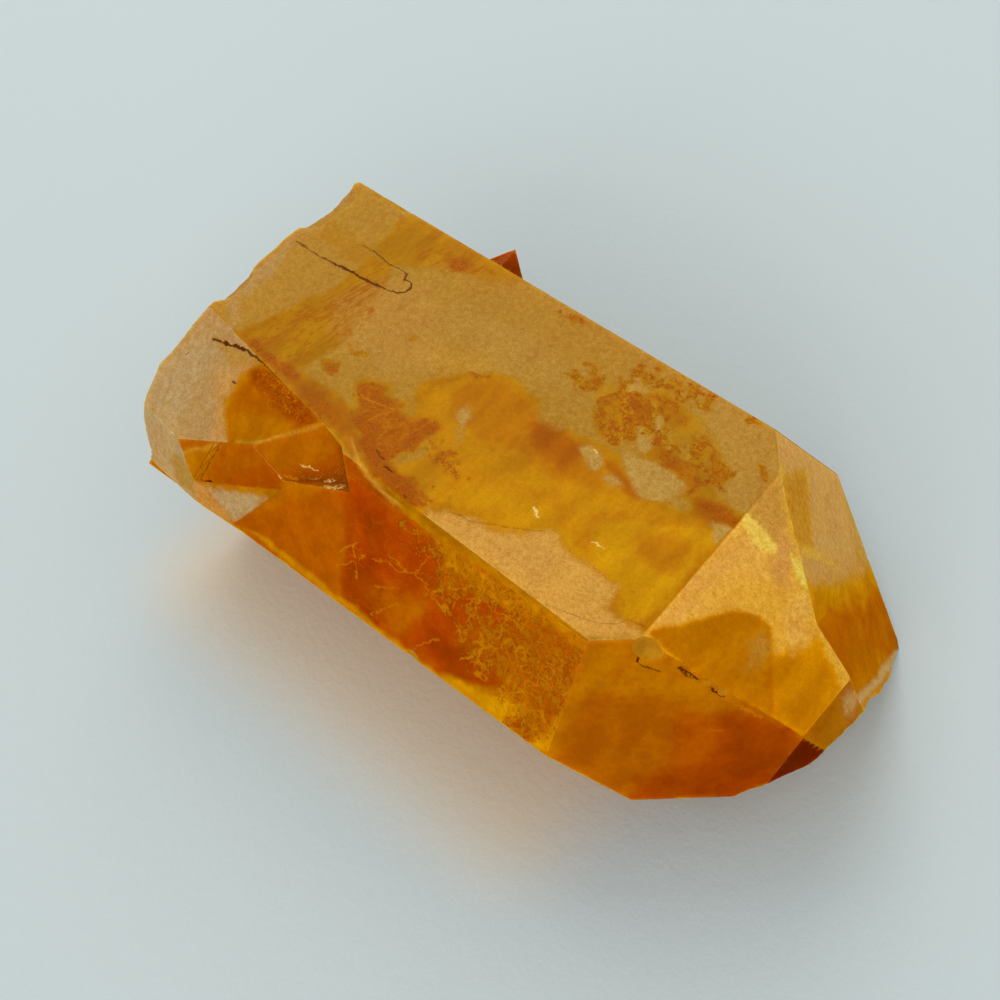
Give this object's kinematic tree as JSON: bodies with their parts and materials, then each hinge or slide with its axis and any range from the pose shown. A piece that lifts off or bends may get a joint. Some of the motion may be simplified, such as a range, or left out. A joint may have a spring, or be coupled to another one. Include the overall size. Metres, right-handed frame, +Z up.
{
  "type": "tangerine quartz crystal",
  "caption": "Single tangerine quartz point lying on a prism face, with a broken base, a chipped tip and a small side crystal grown together with it.",
  "frame": {"origin": "middle of the lying crystal's footprint, on the surface it rests on", "axes": "+X along the crystal towards its tip, +Y towards the back, +Z up"},
  "size_m": [0.0732, 0.0422, 0.0255],
  "materials": {
    "quartz": "translucent quartz, orange and yellow with rust-red iron staining, glossy faces and duller broken ends"
  },
  "bodies": {
    "root": {"quartz_crystal": "quartz"}
  },
  "joints": []
}
